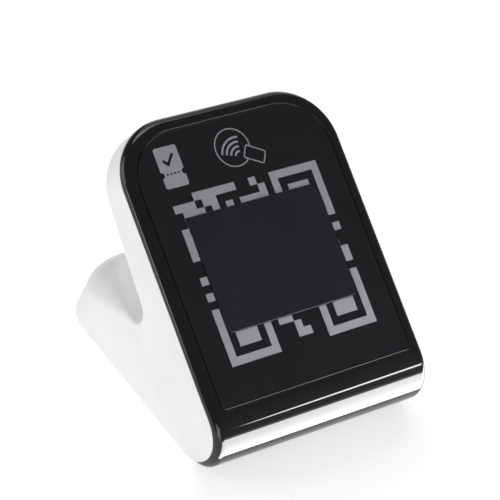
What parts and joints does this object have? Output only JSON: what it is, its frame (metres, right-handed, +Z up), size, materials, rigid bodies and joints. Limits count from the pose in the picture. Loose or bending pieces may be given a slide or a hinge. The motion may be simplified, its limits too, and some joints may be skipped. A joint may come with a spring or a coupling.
{
  "type": "ticket validator",
  "caption": "Tilted desktop ticket validator: a glass-faced card and code reader on a flat foot, with scan window, sounder and rear connector.",
  "frame": {"origin": "centre of the footprint's bounding box, on the plane the rubber pads stand on", "axes": "+Z up, +X to the user's right, -Y towards the user; the reader face leans back 36.6 degrees from horizontal"},
  "size_m": [0.1174, 0.139, 0.1114],
  "materials": {
    "gloss_black_shell": "polished",
    "printed_glass": "polished, printed on its back",
    "window_pane": "polished, infrared-clear tint",
    "white_housing": "fine satin texture",
    "dark_plastic": "satin",
    "black_rubber": "matt",
    "black_tape": "matt",
    "circuit_board": "solder resist",
    "ferrite": "matt",
    "bright_steel": "zinc plated",
    "brass": "bare",
    "tin_plate": "tin plated",
    "clear_plastic": "frosted",
    "led_package": "clear over phosphor",
    "amber_film": "polyimide"
  },
  "bodies": {
    "validator": {"front_shell": "gloss_black_shell", "front_glass": "printed_glass", "scan_window": "window_pane", "rear_housing": "white_housing", "base_plate": "dark_plastic", "scan_tunnel": "dark_plastic", "scan_engine": "dark_plastic", "lens_barrel": "dark_plastic", "cell_holder": "dark_plastic", "flex_connector": "dark_plastic", "speaker_frame": "dark_plastic", "io_socket": "dark_plastic", "button_switch": "dark_plastic", "tamper_switch": "dark_plastic", "housing_seal": "black_rubber", "rubber_pad_front_left": "black_rubber", "rubber_pad_front_right": "black_rubber", "rubber_pad_rear_left": "black_rubber", "rubber_pad_rear_right": "black_rubber", "speaker_cone": "black_rubber", "glass_tape": "black_tape", "antenna_board": "circuit_board", "led_board": "circuit_board", "main_board": "circuit_board", "ferrite_sheet": "ferrite", "engine_bracket": "bright_steel", "sam_card_socket": "bright_steel", "coin_cell": "bright_steel", "tamper_spring": "bright_steel", "base_screw_1": "bright_steel", "base_screw_2": "bright_steel", "base_screw_3": "bright_steel", "base_screw_4": "bright_steel", "board_screw_1": "bright_steel", "board_screw_2": "bright_steel", "board_screw_3": "bright_steel", "board_screw_4": "bright_steel", "lip_screw_left": "bright_steel", "lip_screw_right": "bright_steel", "io_contacts": "brass", "thread_insert_1": "brass", "thread_insert_2": "brass", "thread_insert_3": "brass", "thread_insert_4": "brass", "processor_shield": "tin_plate", "modem_shield": "tin_plate", "light_guide": "clear_plastic", "lens": "clear_plastic", "status_led_1": "led_package", "status_led_2": "led_package", "status_led_3": "led_package", "status_led_4": "led_package", "antenna_flex": "amber_film"},
    "button": {"service_button": "dark_plastic", "switch_stem": "bright_steel"},
    "plunger": {"tamper_plunger": "bright_steel"}
  },
  "joints": [
    {"name": "service_press", "type": "slide", "parent": "validator", "child": "button", "axis": [0, -1, 0], "range_m": [0, 0.001], "stiffness_N_per_m": 1500, "springref_m": -0.0005},
    {"name": "tamper_press", "type": "slide", "parent": "validator", "child": "plunger", "axis": [0, 0, 1], "range_m": [0, 0.0012], "stiffness_N_per_m": 600, "springref_m": -0.0005, "deforming": ["tamper_spring"]}
  ]
}
